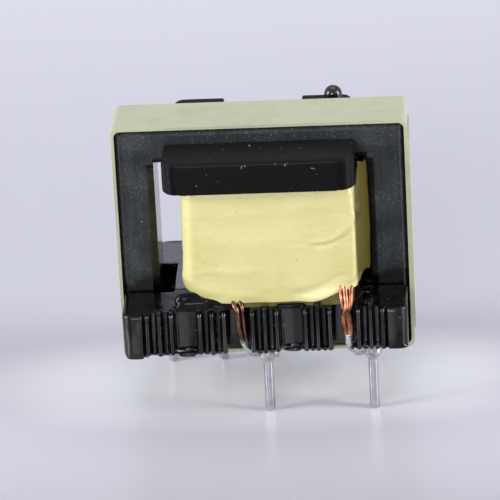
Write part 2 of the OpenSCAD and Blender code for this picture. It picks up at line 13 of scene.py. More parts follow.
import math

import bmesh
import bpy
from mathutils import Matrix, Vector, noise


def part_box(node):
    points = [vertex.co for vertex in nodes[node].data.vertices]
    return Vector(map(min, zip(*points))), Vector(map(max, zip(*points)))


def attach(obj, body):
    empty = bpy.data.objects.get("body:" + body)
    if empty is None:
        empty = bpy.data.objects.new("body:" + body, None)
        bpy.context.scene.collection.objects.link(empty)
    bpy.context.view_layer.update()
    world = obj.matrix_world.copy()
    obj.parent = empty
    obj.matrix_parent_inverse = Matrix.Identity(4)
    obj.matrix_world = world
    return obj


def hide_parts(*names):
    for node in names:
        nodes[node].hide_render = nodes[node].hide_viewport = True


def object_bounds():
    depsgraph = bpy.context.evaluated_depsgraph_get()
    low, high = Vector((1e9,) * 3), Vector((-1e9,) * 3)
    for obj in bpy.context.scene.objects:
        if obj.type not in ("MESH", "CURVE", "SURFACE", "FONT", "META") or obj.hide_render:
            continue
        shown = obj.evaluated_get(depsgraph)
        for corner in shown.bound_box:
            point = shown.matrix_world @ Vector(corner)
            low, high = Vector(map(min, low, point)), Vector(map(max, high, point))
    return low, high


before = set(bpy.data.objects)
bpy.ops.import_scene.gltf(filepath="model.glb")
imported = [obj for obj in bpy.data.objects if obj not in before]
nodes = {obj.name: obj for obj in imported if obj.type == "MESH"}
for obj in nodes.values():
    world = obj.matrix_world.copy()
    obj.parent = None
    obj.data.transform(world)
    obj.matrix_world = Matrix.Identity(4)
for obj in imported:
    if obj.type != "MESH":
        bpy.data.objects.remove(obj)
cad_bounds = [list(corner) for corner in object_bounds()]
mm = 0.001
scene = bpy.context.scene
print("nodes:", ", ".join(sorted(nodes)))
print("solid model, mm:", [[round(v / mm, 2) for v in corner] for corner in cad_bounds])

# %% [markdown]
# ## The camera
#
# The object is looked at through a long lens, from slightly above and almost
# straight on, so that its uprights stay nearly parallel. A long lens is a narrow
# angle and a large distance; the small turn about the line of sight is the tilt
# that a hand-held product shot has. The view is set by a target point, two
# angles, a distance and that tilt, because each of them can be judged by eye.

# %% Place the camera
TARGET = Vector((0, 0, 8.0)) * mm
AZIMUTH, ELEVATION, TILT = (math.radians(angle) for angle in (3.0, 21.43, 2.97))
DISTANCE = 290 * mm
SENSOR = 36                    # width of the sensor, in millimetres
FOCAL = 8.636 * SENSOR         # so the view is 6.6 degrees wide
SHIFT = (-0.0299, -0.0454)     # moves the view without turning the camera
NEAREST, FARTHEST = 0.01, 10   # what the camera sees lies between these, in metres

forward = Vector((-math.sin(AZIMUTH) * math.cos(ELEVATION),
                  math.cos(AZIMUTH) * math.cos(ELEVATION), -math.sin(ELEVATION)))
sideways = Vector((math.cos(AZIMUTH), math.sin(AZIMUTH), 0))
upward = sideways.cross(forward)
axes = Matrix((sideways * math.cos(TILT) - upward * math.sin(TILT),
               sideways * math.sin(TILT) + upward * math.cos(TILT), -forward)).transposed()

bpy.ops.object.camera_add()
camera = bpy.context.object
camera.matrix_world = Matrix.Translation(TARGET - forward * DISTANCE) @ axes.to_4x4()
camera.data.lens = FOCAL
camera.data.sensor_width = SENSOR
camera.data.shift_x, camera.data.shift_y = SHIFT
camera.data.clip_start, camera.data.clip_end = NEAREST, FARTHEST
scene.camera = camera
scene.view_settings.view_transform = "Standard"
print("camera at, mm:", [round(v / mm, 1) for v in camera.location])

# %% [markdown]
# ## Writing a material as a sentence
#
# A material's pattern is arithmetic: noise times this, plus that. Drawn as
# nodes it becomes a web, so one small class wraps an output socket and lets
# Python's operators add the Math nodes. `Finish` holds one material, and its
# `node` method adds any other node from its type, its settings and its inputs.


# %% A socket that can be calculated with
class Value:
    def __init__(self, finish, socket):
        self.finish, self.socket = finish, socket

    def math(self, operation, *others, clamp=False):
        values = dict(enumerate((self, *others)))
        return self.finish.node("Math", dict(operation=operation, use_clamp=clamp), values)

    def __add__(self, other): return self.math("ADD", other)
    def __sub__(self, other): return self.math("SUBTRACT", other)
    def __mul__(self, other): return self.math("MULTIPLY", other)
    def __truediv__(self, other): return self.math("DIVIDE", other)
    def __rsub__(self, other): return (self * -1.0) + other
    __radd__ = __add__
    __rmul__ = __mul__

    def clamp(self):
        """Keeps the value between 0 and 1."""
        return self.math("ADD", 0.0, clamp=True)

    def step(self, low, high):
        """Goes softly from 0 at low to 1 at high."""
        return self.finish.node("MapRange", dict(interpolation_type="SMOOTHSTEP"),
                                {0: self, 1: low, 2: high})


print("sockets can be added, subtracted, multiplied, divided, clamped and stepped")


# %% A material that is built from sentences
class Finish:
    def __init__(self, name, **constants):
        self.material = bpy.data.materials.new(name)
        self.material.use_nodes = True
        self.tree = self.material.node_tree
        self.shader = self.tree.nodes["Principled BSDF"]
        self.set(**constants)
        self.place = self.node("TexCoord", {}, {}, "Object")

    def put(self, socket, value):
        """Links a calculated value to a socket, or writes a plain one into it."""
        if isinstance(value, Value):
            self.tree.links.new(value.socket, socket)
        elif isinstance(value, (tuple, list)) and len(value) == 3 and len(socket.default_value) == 4:
            socket.default_value = (*value, 1)
        else:
            socket.default_value = value

    def node(self, kind, settings, inputs, output=0):
        """Adds a node, sets its settings first and then its inputs."""
        made = self.tree.nodes.new("ShaderNode" + kind)
        for name, value in settings.items():
            setattr(made, name, value)
        for socket, value in inputs.items():
            self.put(made.inputs[socket], value)
        return Value(self, made.outputs[output])

    def noise(self, per_mm, detail=2.0, stretch=(1, 1, 1), rough=0.5):
        """Noise with so many waves in a millimetre; stretch has a small number where it runs long."""
        scale = tuple(share / mm for share in stretch)
        place = self.node("Mapping", {}, {"Vector": self.place, "Scale": scale})
        return self.node("TexNoise", {}, {"Vector": place, "Scale": per_mm, "Detail": detail,
                                          "Roughness": rough})

    def mix(self, factor, first, second):
        """The first colour where factor is 0, and the second where it is 1."""
        return self.node("Mix", dict(data_type="RGBA"), {0: factor, 6: first, 7: second}, 2)

    def along(self, axis):
        """The place along an axis, in millimetres."""
        return self.node("SeparateXYZ", {}, {0: self.place}, "XYZ".index(axis)) / mm

    def bump(self, height, depth, strength):
        """Relief from a height of 0 to 1 that is so many millimetres deep."""
        normal = self.node("Bump", {}, {"Height": height, "Distance": depth * mm,
                                        "Strength": strength})
        self.set(Normal=normal)

    def set(self, **inputs):
        """Fills inputs of the shader; a name's underscores stand for spaces."""
        for socket, value in inputs.items():
            self.put(self.shader.inputs[socket.replace("_", " ")], value)


def linear(red, green, blue):
    """Shader colour for a colour as it is seen, from 0 to 255."""
    return tuple(((c / 255 + 0.055) / 1.055) ** 2.4 if c > 10 else c / 255 / 12.92
                 for c in (red, green, blue))


print("grey 128 is", [round(c, 3) for c in linear(128, 128, 128)])

# %% [markdown]
# ## Floor and light
#
# A product like this is shot on a pale sweep: a floor that curves up behind, so
# that no edge shows. It could be a bent sheet of its own; here it is a plane
# whose far edge is extruded upwards and whose bend is bevelled, which takes two
# operators. A few helpers come first, because an operator acts on all that is
# selected: they deselect everything, and then pick out one piece or its edges.

# %% Helpers that pick out a piece
def deselect():
    """Leaves edit mode and selects nothing."""
    if bpy.context.object and bpy.context.object.mode != "OBJECT":
        bpy.ops.object.mode_set(mode="OBJECT")
    bpy.ops.object.select_all(action="DESELECT")


def take(piece):
    """Selects one piece alone and makes it the active one."""
    deselect()
    piece.select_set(True)
    bpy.context.view_layer.objects.active = piece


def edit(piece):
    """Opens one piece in edit mode."""
    take(piece)
    bpy.ops.object.mode_set(mode="EDIT")


def select(piece, kind, test):
    """In edit mode, selects the edges or vertices for which test is true."""
    bpy.ops.mesh.select_mode(type=dict(edges="EDGE", verts="VERT")[kind])
    bpy.ops.mesh.select_all(action="DESELECT")
    mesh = bmesh.from_edit_mesh(piece.data)
    for item in getattr(mesh, kind):
        if test(item):
            item.select_set(True)
    mesh.select_flush_mode()
    bmesh.update_edit_mesh(piece.data)


print("pieces can be taken, edited and selected in")


# %% Helpers that start, change and finish a piece
def start(name, primitive, **options):
    """Adds a primitive by its operator and names it."""
    deselect()
    getattr(bpy.ops.mesh, "primitive_%s_add" % primitive)(**options)
    piece = bpy.context.object
    piece.name = piece.data.name = name
    return piece


def modify(piece, kind, **settings):
    """Adds a modifier and applies it."""
    take(piece)
    modifier = piece.modifiers.new(kind.lower(), kind)
    for setting, value in settings.items():
        setattr(modifier, setting, value)
    bpy.ops.object.modifier_apply(modifier=modifier.name)


def finished(piece, finish, slot=None, smooth=60):
    """Applies the place, smooths up to an angle, and sets the finish and what the piece rides."""
    take(piece)
    bpy.ops.object.transform_apply(location=True, rotation=True, scale=True)
    bpy.ops.object.shade_smooth_by_angle(angle=math.radians(smooth))
    piece.data.materials.clear()
    piece.data.materials.append(finish.material)
    if slot:
        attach(piece, "root")
    print(piece.name, len(piece.data.polygons), "faces")


print("pieces can be started, modified and finished")

# %% Shape the floor so that it curves up behind the object
FLOOR_SIZE, FLOOR_RISE, FLOOR_BEND = 1.6, 0.9, 0.35
FAR_EDGE = 0.7                 # only the far edge lies beyond this

floor = start("floor", "plane", size=FLOOR_SIZE, location=(0, 0, cad_bounds[0][2]))
edit(floor)
select(floor, "edges", lambda e: all(v.co.y > FAR_EDGE for v in e.verts))
bpy.ops.mesh.extrude_region_move(TRANSFORM_OT_translate={"value": (0, 0, FLOOR_RISE)})
select(floor, "edges", lambda e: all(v.co.y > FAR_EDGE and v.co.z < 0.1 for v in e.verts))
bpy.ops.mesh.bevel(offset=FLOOR_BEND, segments=24, affect="EDGES")
bpy.ops.mesh.select_all(action="SELECT")
bpy.ops.mesh.normals_make_consistent(inside=False)
bpy.ops.object.mode_set(mode="OBJECT")
print("floor at z", round(cad_bounds[0][2] / mm, 2), "mm")

# %% [markdown]
# The sweep is lit from its own tent, so its tone changes from place to place: it
# is brightest far behind, it has a pale pool where light comes through under the
# object, and the strip nearest to the camera falls off. More light on the floor
# would also be more light on the object, so these tones are painted.

# %% Finish of the floor
sweep = Finish("sweep", Roughness=0.32, Specular_IOR_Level=0.4)
cloud = sweep.noise(0.004, detail=1)
near = sweep.along("Y").step(-11, -32)
far = sweep.along("Y").step(20, 160)
x, y = sweep.along("X"), sweep.along("Y") - 1
under = (x * x * 0.3 + y * y * 1.6).step(165, 5)
base = sweep.mix(cloud, linear(196, 196, 206), linear(200, 200, 210))
base = sweep.mix(far, base, linear(236, 236, 247))
base = sweep.mix(under, base, linear(238, 239, 246))
sweep.set(Base_Color=sweep.mix(near, base, linear(162, 163, 170)))
finished(floor, sweep)

# %% [markdown]
# The light is a soft tent. One broad lamp hangs above, one low lamp in front
# lights the shaded sides, and two tall ones at the sides draw the long highlights
# down the black moulding. The world fills the shadows evenly; only the camera and
# shiny or clear surfaces see a paler background in it, so that metal mirrors the
# sweep and the light on the object stays as it is.

# %% Lamps
def softbox(name, place, size, watts):
    """A rectangular lamp that looks at the target and isn't seen by the camera."""
    deselect()
    bpy.ops.object.light_add(type="AREA", location=place)
    lamp = bpy.context.object
    lamp.name = name
    lamp.data.shape, lamp.data.size, lamp.data.size_y = "RECTANGLE", size[0], size[1]
    lamp.data.energy = watts
    lamp.rotation_euler = (TARGET - lamp.location).to_track_quat("-Z", "Y").to_euler()
    lamp.visible_camera = False


softbox("lamp_above", (0.0, 0.10, 0.62), (0.50, 0.40), 0.9)
softbox("lamp_front", (-0.14, -0.60, 0.21), (0.30, 0.20), 1.25)
softbox("lamp_left", (-0.53, -0.16, 0.17), (0.18, 0.36), 3.0)
softbox("lamp_right", (0.53, -0.14, 0.17), (0.18, 0.36), 3.0)

# %% World
FILL_COLOUR, FILL_STRENGTH = (0.93, 0.93, 1.0, 1), 0.36
SEEN_COLOUR, SEEN_STRENGTH = (*linear(213, 213, 223), 1), 1.0

world = bpy.data.worlds.new("tent")
scene.world = world
world.use_nodes = True
tree = world.node_tree
fill = tree.nodes["Background"]
seen = tree.nodes.new("ShaderNodeBackground")
for background, colour, strength in ((fill, FILL_COLOUR, FILL_STRENGTH),
                                     (seen, SEEN_COLOUR, SEEN_STRENGTH)):
    background.inputs["Color"].default_value = colour
    background.inputs["Strength"].default_value = strength
rays = tree.nodes.new("ShaderNodeLightPath")
sees_it = rays.outputs["Is Camera Ray"]
for ray in ("Is Transmission Ray", "Is Glossy Ray"):
    either = tree.nodes.new("ShaderNodeMath")
    either.operation = "MAXIMUM"
    tree.links.new(sees_it, either.inputs[0])
    tree.links.new(rays.outputs[ray], either.inputs[1])
    sees_it = either.outputs[0]
choose = tree.nodes.new("ShaderNodeMixShader")
for link, socket in zip((sees_it, fill.outputs[0], seen.outputs[0]), choose.inputs):
    tree.links.new(link, socket)
tree.links.new(choose.outputs[0], tree.nodes["World Output"].inputs["Surface"])
print("the world fills with", FILL_STRENGTH, "and is seen with", SEEN_STRENGTH)

# %% [markdown]
# ## Ferrite
#
# Ferrite is a pressed and fired ceramic, almost black with a green-blue cast.
# Its faces keep the fine vertical lines of the grinding wheel, with pale grains
# and pits. The varnish bath leaves a thin uneven gloss, which the coat carries:
# it runs along the rims as dark blots, and lies thickest on the sides that look
# into the window. The lower ends of the legs are darker and smoother. One finish
# does it all, because every one of these is a matter of place.

# %% Ferrite: its grain
ferrite = Finish("ferrite", Specular_IOR_Level=0.3, Coat_Roughness=0.16)
grain = ferrite.noise(9, detail=4, rough=0.7)
grind = ferrite.noise(4, detail=3, stretch=(1, 1, 0.06))
pits = ferrite.noise(5.5, detail=2, rough=0.8)
cloud = ferrite.noise(0.5, detail=3)
speck = grain.step(0.585, 0.66)
coarse = ferrite.noise(3.2, detail=3, rough=0.75).step(0.60, 0.66)
tone = (cloud * 0.6 + grind * 0.5 + grain * 0.35).step(0.35, 1.05)
base = ferrite.mix(tone, linear(13, 17, 19), linear(52, 57, 59))
base = ferrite.mix(pits.step(0.60, 0.68) * 0.7, base, linear(8, 9, 9))
base = ferrite.mix(speck * (cloud.step(0.4, 0.6) * 0.35 + 0.12), base, linear(140, 146, 142))
base = ferrite.mix(coarse * speck.step(0.1, 0.6) * 0.6, base, linear(190, 194, 186))
print("ferrite has its grain")

# %% Ferrite: its varnish
height = ferrite.along("Z")
across = ferrite.along("X") * ferrite.along("X")   # the square of the distance from the middle
# darker and smoother towards the lower ends of the legs
lower_ends = (height + cloud * 1.6).step(6.6, 5.9)
inner = across.step(51.2, 50.6) * height.step(13.6, 13.5)
rims = across.step(80, 86) + across.step(58, 53) * height.step(13.9, 13.5)
blots = (rims * pits.step(0.42, 0.55)).clamp()
base = ferrite.mix(blots * 0.85, base, linear(6, 8, 6))
base = ferrite.mix(lower_ends * 0.95, base, linear(3, 4, 4))
ferrite.set(Base_Color=base,
            Roughness=(0.6 - cloud * 0.25 - tone * 0.1 - lower_ends * 0.3).clamp(),
            Coat_Weight=(cloud.step(0.35, 0.75) * (1 - lower_ends) * 0.4 + inner).clamp())
ferrite.bump(grain * 0.5 + grind * 0.5 - pits.step(0.62, 0.7) * 0.8, 0.03, 0.6)
print("ferrite made")

# %% [markdown]
# ## Tapes
#
# Both tapes are thin polyester film with a pigmented adhesive: pale yellow-green
# round the core and a warmer, stronger yellow over the windings. Film is smooth,
# so it shines softly; varnish underneath darkens it in clouds, and a few grains
# of dirt stay on it. The winding's tape is darkened on its right side by painted
# shade, where it faces the core's leg across the window, and the layer below it is
# darker all over, partly with varnish and partly with painted shade under the hem.

# %% A finish for any tape
SHADE_FROM, SHADE_TO = 6.12, 6.3   # where the painted shade on the right side of the winding's tape begins and ends, along X


def tape_finish(name, pale, deep, dirt, roughness, painted_shade=None):
    finish = Finish(name, Specular_IOR_Level=0.45, Coat_Roughness=0.08)
    cloud = finish.noise(0.28, detail=3)
    fine = finish.noise(2.2, detail=3, stretch=(0.5, 0.5, 1.6))
    flecks = finish.noise(3.1, detail=2, rough=0.6)
    stained = (cloud * 0.7 + fine * 0.35).step(0.42, 0.72)
    base = finish.mix(stained, pale, deep)
    base = finish.mix(flecks.step(0.725, 0.76) * 0.5, base, dirt)
    # painted shade: the right side, which faces the core's leg, is darkened to the last colour given
    if painted_shade:
        side = finish.along("X").step(SHADE_FROM, SHADE_TO)
        base = finish.mix(side * 0.97, base, painted_shade)
    finish.set(Base_Color=base, Roughness=(roughness + fine * 0.15).clamp(), Coat_Weight=0.25)
    finish.bump(cloud * 0.7 + fine * 0.3, 0.02, 0.5)
    print(name, "made")
    return finish


# %% The three tapes
core_tape = tape_finish("core_tape", linear(186, 190, 158), linear(174, 179, 144),
                        linear(110, 108, 72), 0.34)
# its last colour is the painted shade on the tape's right side
winding_tape = tape_finish("winding_tape", linear(219, 212, 150), linear(210, 202, 134),
                           linear(96, 84, 34), 0.30, linear(78, 68, 2))
# a darker copy of the winding's tape: painted shade under the hem, together with varnish
shaded_tape = tape_finish("shaded_tape", linear(120, 112, 44), linear(92, 86, 30),
                          linear(50, 44, 16), 0.2)

# %% [markdown]
# ## Black moulding
#
# The bobbin is phenolic, moulded black and glossy, and varnished after winding.
# The varnish is what shows: a second skin that pools and ripples on the rails
# and shines most inside, where it could not run off. So the coat follows the
# pools, and its bump is broad and soft. The bars at the top stayed nearly dry;
# only their domed peg is wet, and the level tops are dull and dusty.

# %% Bobbin finish: where it is dry
moulding = Finish("moulding", Specular_IOR_Level=0.14, Coat_Roughness=0.03)
height = moulding.along("Z")
high = height.step(10.5, 13) * (1 - height.step(15.2, 15.35))   # the bars, without the peg
inside = moulding.along("Y").step(-2.6, -2.1)
lid = height.step(14.85, 15.0)                                  # the tops of the bars
ledge = height.step(4.48, 4.55) * (1 - inside) * 0.9            # the top of the front rail
print("dry places found")

# %% Bobbin finish: its skin
pool = moulding.noise(0.9, detail=2, stretch=(1, 1, 0.35)).step(0.42, 0.58)
cloud = moulding.noise(0.35, detail=3)
ripple = moulding.noise(0.9, detail=2)
fine = moulding.noise(7, detail=3)
dust = moulding.noise(4.3, detail=1, stretch=(1, 1, 0.7)).step(0.745, 0.79)
base = moulding.mix(cloud, linear(4, 4, 5), linear(11, 11, 13))
moulding.set(Base_Color=moulding.mix(dust * 0.6, base, linear(150, 150, 150)),
             Roughness=(0.10 + fine * 0.12 + dust * 0.3 + high * 0.12 + lid * 0.3).clamp(),
             Coat_Weight=((1 - high) * (1 - ledge) * (0.3 + pool * 0.6 + inside * 0.8)).clamp())
moulding.bump(ripple * (1 - high) * 0.8 + ripple * 0.3 + fine * 0.04 + dust * 0.2, 0.10, 0.6)
print("moulding made")

# %% [markdown]
# ## Metals
#
# Enamelled copper is copper seen through a thin amber skin: the metal tints its
# own reflections and the skin adds a clear one. The start of the winding is
# darker than its finish at the right, partly under old varnish and partly by
# painted shade in the slot it runs down, and both are tinned where the solder
# bath reached them. Tin on the pins is bright with fine drawing marks, and the
# solder under the rail is duller, with flux on it.

# %% Copper finish
copper = Finish("enamelled_copper", Metallic=0.85, Coat_Roughness=0.06)
cloud = copper.noise(1.2, detail=3)
right_lead = copper.along("X").step(0.5, 1.5)
bright = copper.mix(cloud.step(0.38, 0.6), linear(190, 118, 80), linear(104, 58, 34))
# painted shade and varnish: the start lead, down its slot at the left, is darker
shade_and_varnish = copper.mix(cloud.step(0.35, 0.65), linear(116, 76, 56), linear(46, 28, 20))
tinned = copper.along("Z").step(2.75, 2.15)
base = copper.mix(right_lead, shade_and_varnish, bright)
copper.set(Base_Color=copper.mix(tinned, base, linear(176, 176, 178)),
           Roughness=(0.2 + cloud * 0.18).clamp(), Coat_Weight=0.6)
copper.bump(copper.noise(6, detail=2), 0.01, 0.5)
print("copper made")

# %% Tin finish
tin = Finish("tinned_wire", Metallic=1.0)
drawn = tin.noise(5, detail=3, stretch=(1, 1, 0.08))
blotch = tin.noise(1.3, detail=3)
tin.set(Base_Color=tin.mix(blotch.step(0.4, 0.7), linear(200, 200, 204), linear(172, 172, 176)),
        Roughness=(0.05 + drawn * 0.06 + blotch * 0.05).clamp())
tin.bump(drawn * 0.5 + blotch * 0.5, 0.008, 0.4)
print("tin made")

# %% Solder finish
solder = Finish("solder", Coat_Roughness=0.06)
blotch = solder.noise(1.1, detail=3)
grime = solder.noise(2.6, detail=3)
flux = grime.step(0.45, 0.62)
base = solder.mix(blotch, linear(222, 222, 224), linear(180, 182, 184))
solder.set(Base_Color=solder.mix(flux * 0.5, base, linear(84, 74, 56)),
           Metallic=(0.85 - flux * 0.5).clamp(),
           Roughness=(0.14 + blotch * 0.14).clamp(), Coat_Weight=0.5)
solder.bump(blotch + grime * 0.4, 0.015, 0.6)
print("solder made")

# %% [markdown]
# Every solid gets its finish, also those that a new piece stands for below and
# those that lie hidden inside, because the solid model is kept with its looks.

# %% Give every solid its finish
FINISHES = dict(core_lower=ferrite, core_upper=ferrite, core_tape=core_tape, bobbin=moulding,
                primary_inner=copper, insulation_inner=winding_tape, primary_outer=copper,
                insulation_outer=winding_tape, margin_tape=winding_tape, secondary_winding=copper,
                outer_tape=winding_tape)
for name, node in nodes.items():
    finish = FINISHES.get(name) or (tin if name.startswith("pin") else solder)
    node.data.materials.clear()
    node.data.materials.append(finish.material)
    print(name, "wears", finish.material.name)

# %% [markdown]
# ## Varnished moulding
#
# A moulding that has been through the varnish bath has no sharp edge left: the
# film rounds every corner and hangs in drops where it ran off. The solid's
# shape is right, so a copy of it is merged and cut into handy parts, drops of
# varnish are laid on as stretched balls, and a voxel remesh melts them together
# into one skin. A few rounds of smoothing then leave the soft look of a dip.
# Drops that are sculpted one by one would look the same and take far longer.

# %% Copy a solid and cut it
SAME_POINT = 0.0004            # points nearer than this are one, in millimetres


def cut(point, normal):
    """In edit mode, takes away what lies on the normal's side of a plane and closes the cut."""
    bpy.ops.mesh.select_all(action="SELECT")
    bpy.ops.mesh.bisect(plane_co=point, plane_no=normal, use_fill=True, clear_outer=True)


def copy_of(node, name, *cuts):
    """A merged copy of a solid, cut by planes: a point in millimetres and a normal for each."""
    piece = bpy.data.objects.new(name, nodes[node].data.copy())
    piece.data.name = name
    scene.collection.objects.link(piece)
    edit(piece)
    bpy.ops.mesh.select_all(action="SELECT")
    bpy.ops.mesh.remove_doubles(threshold=SAME_POINT * mm)
    for point, normal in cuts:
        cut(Vector(point) * mm, normal)
    bpy.ops.object.mode_set(mode="OBJECT")
    print(name, "is a copy of", node, "with", len(piece.data.vertices), "points")
    return piece


# %% Drops, and how they melt into a piece
SMOOTHING = 0.5                # how far one round of smoothing moves a point


def drop(place, size):
    """A ball of varnish with its half lengths along each axis, in millimetres."""
    return start("drop", "uv_sphere", segments=20, ring_count=12, radius=mm,
                 location=Vector(place) * mm, scale=size)


def join(piece, others):
    """Joins other pieces into the first one."""
    deselect()
    for other in others:
        other.select_set(True)
    piece.select_set(True)
    bpy.context.view_layer.objects.active = piece
    bpy.ops.object.join()


def melt(piece, voxel, rounds):
    """Remeshes a piece into one skin with faces of a size in millimetres, and smooths it."""
    modify(piece, "REMESH", mode="VOXEL", voxel_size=voxel * mm, use_smooth_shade=True)
    modify(piece, "SMOOTH", factor=SMOOTHING, iterations=rounds)
    print(piece.name, "melted into", len(piece.data.vertices), "points")


print("varnish can be dropped and melted")

# %% [markdown]
# The front rail is the one that shows. Its drops are listed by place and half
# lengths: a row along the lower edge, films in the feet of the gaps between the
# ribs, drops that hang on single ribs, and the pool that holds the lower left
# corner of the winding. Two flat films fill the wide slots.

# %% Drops of the front rail
DROPS_FRONT = [
    # along the lower edge, where the bath ran off
    ((-8.55, -6.5, 1.60), (0.75, 0.36, 0.30)), ((-7.1, -6.45, 1.74), (0.8, 0.36, 0.16)),
    ((-5.1, -6.45, 1.70), (0.9, 0.36, 0.20)), ((-3.3, -6.5, 1.74), (0.8, 0.36, 0.16)),
    ((0.0, -6.5, 1.76), (1.0, 0.36, 0.14)), ((1.9, -6.4, 1.80), (0.8, 0.30, 0.14)),
    ((3.5, -6.5, 1.80), (1.1, 0.36, 0.12)), ((6.0, -6.45, 1.86), (0.5, 0.36, 0.20)),
    ((7.1, -6.5, 1.98), (0.8, 0.38, 0.22)), ((8.6, -6.5, 1.82), (0.9, 0.36, 0.16)),
    # films in the feet of the gaps between ribs
    ((-7.4, -6.25, 2.1), (0.26, 0.30, 0.8)), ((-6.6, -6.25, 1.9), (0.26, 0.30, 0.6)),
    ((-3.9, -6.35, 2.2), (0.26, 0.32, 1.0)), ((-3.1, -6.30, 2.1), (0.26, 0.32, 0.9)),
    ((-0.4, -6.25, 2.1), (0.26, 0.30, 0.9)), ((0.4, -6.30, 2.4), (0.26, 0.30, 1.3)),
    ((3.1, -6.2, 2.1), (0.26, 0.26, 0.7)), ((3.9, -6.2, 2.0), (0.26, 0.26, 0.6)),
    ((6.6, -6.2, 2.1), (0.26, 0.26, 0.7)), ((7.4, -6.30, 2.6), (0.26, 0.30, 1.3)),
    # drops that hang on single ribs
    ((-3.5, -6.72, 2.2), (0.22, 0.17, 0.5)), ((-2.7, -6.72, 2.6), (0.22, 0.16, 0.9)),
    ((-0.8, -6.70, 3.4), (0.22, 0.18, 0.7)), ((0.8, -6.72, 4.1), (0.22, 0.17, 0.6)),
    # the pool that holds the winding's lower left corner
    ((-5.0, -5.50, 5.1), (1.0, 0.42, 0.62)), ((-4.3, -5.80, 4.9), (1.5, 0.34, 0.50)),
    ((-3.0, -5.85, 4.75), (1.6, 0.26, 0.26)),
    # a low pool right of the winding
    ((6.75, -4.9, 4.75), (0.5, 0.9, 0.2)),
]
SLOT_FILMS = [((x, -5.75, 3.25), (0.95, 0.26, 1.55)) for x in (-5.25, 1.75)]
print(len(DROPS_FRONT), "drops and", len(SLOT_FILMS), "films")

# %% Melt the front rail
RAIL_TOP = 5.3                 # where the spool is cut from the rails
PLATE_CUT = -2.2               # where the front rail is cut from the rear one
LOWEST = 1.56                  # no varnish hangs below this

rail_front = copy_of("bobbin", "rail_front",
                     ((0, 0, RAIL_TOP), (0, 0, 1)), ((0, PLATE_CUT, 0), (0, 1, 0)))
films = [start("film", "cylinder", vertices=32, radius=mm, depth=2 * mm,
               location=Vector(place) * mm, scale=size) for place, size in SLOT_FILMS]
join(rail_front, films + [drop(place, size) for place, size in DROPS_FRONT])
edit(rail_front)
cut((0, 0, LOWEST * mm), (0, 0, -1))
bpy.ops.object.mode_set(mode="OBJECT")
melt(rail_front, 0.07, 6)

# %% [markdown]
# The ribs' fronts are rounded, so each draws one thin line of light. Points near
# the front move back the more, the farther they lie from the middle of their
# rib, and the whole front leans back a little towards its top.

# %% Round the ribs of the front rail
RIBS = [group + step for group in (-7.0, -3.5, 0.0, 3.5, 7.0) for step in (-0.8, 0.0, 0.8)]
RIB_FRONT = -6.1               # points in front of this are moved
RIB_FADE = 0.6                 # and reach their full move this far on
RIB_ENDS = 8.1                 # beyond this the rail has no ribs
RIB_REACH, RIB_HALF = 0.4, 0.26
RIB_ROUND, RIB_CURVE = 0.34, 1.8
LEAN, LEAN_FROM = 0.07, 1.9

for vertex in rail_front.data.vertices:
    x, y, z = vertex.co / mm
    if y < RIB_FRONT:
        fade = min(1, (RIB_FRONT - y) / RIB_FADE)
        gap = min(abs(x - rib) for rib in RIBS)
        if abs(x) < RIB_ENDS and gap < RIB_REACH:
            vertex.co.y += RIB_ROUND * mm * min(1, gap / RIB_HALF) ** RIB_CURVE * fade
        vertex.co.y += max(0, z - LEAN_FROM) * LEAN * mm * fade
modify(rail_front, "SMOOTH", factor=SMOOTHING, iterations=2)
finished(rail_front, moulding, "bobbin", smooth=70)
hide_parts("bobbin")

# %% Melt the rear rail
DROPS_REAR = [((-6.6, 6.55, 4.5), (1.1, 0.3, 0.14)), ((-3.4, 6.55, 4.45), (1.0, 0.3, 0.12)),
              ((6.6, 6.55, 4.5), (0.9, 0.3, 0.12)), ((-5.2, 6.5, 1.75), (0.8, 0.3, 0.16)),
              ((1.9, 6.5, 1.78), (0.7, 0.3, 0.14)), ((4.9, 6.5, 1.75), (0.9, 0.3, 0.15))]

rail_rear = copy_of("bobbin", "rail_rear",
                    ((0, 0, RAIL_TOP), (0, 0, 1)), ((0, PLATE_CUT, 0), (0, -1, 0)))
join(rail_rear, [drop(place, size) for place, size in DROPS_REAR])
melt(rail_rear, 0.085, 3)
finished(rail_rear, moulding, "bobbin", smooth=70)
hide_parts("bobbin")

# %% The spool above them: tube, flange, bars and peg
spool = copy_of("bobbin", "spool", ((0, 0, RAIL_TOP), (0, 0, -1)))
melt(spool, 0.1, 2)
finished(spool, moulding, "bobbin", smooth=70)
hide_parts("bobbin")

# %% [markdown]
# ## The tape over the windings
#
# The last layer is a strip of film pulled round the coil by hand. It takes the
# coil's rounded box shape, but its lower hem curls out where the leads leave, it
# creases where it was pulled crooked, and the pull shows as faint level lines.
# A cylinder without caps is cut into rows, its points are laid on the coil's
# outline, and creases are then pressed in along drawn lines. Solidify gives the
# film its thickness. Cloth physics could crease a strip too, but creases that
# are drawn lie where they are wanted, and the same each time.

# %% Outline of a coil, seen from above
BOW = (0.02, 0.02, 0.02, 0)    # how far the rear, left, front and right sides swell
ARC, SIDE = 19, 40             # points in a corner and steps along a side


def ahead(angle):
    """The direction of an angle in degrees."""
    return math.cos(math.radians(angle)), math.sin(math.radians(angle))


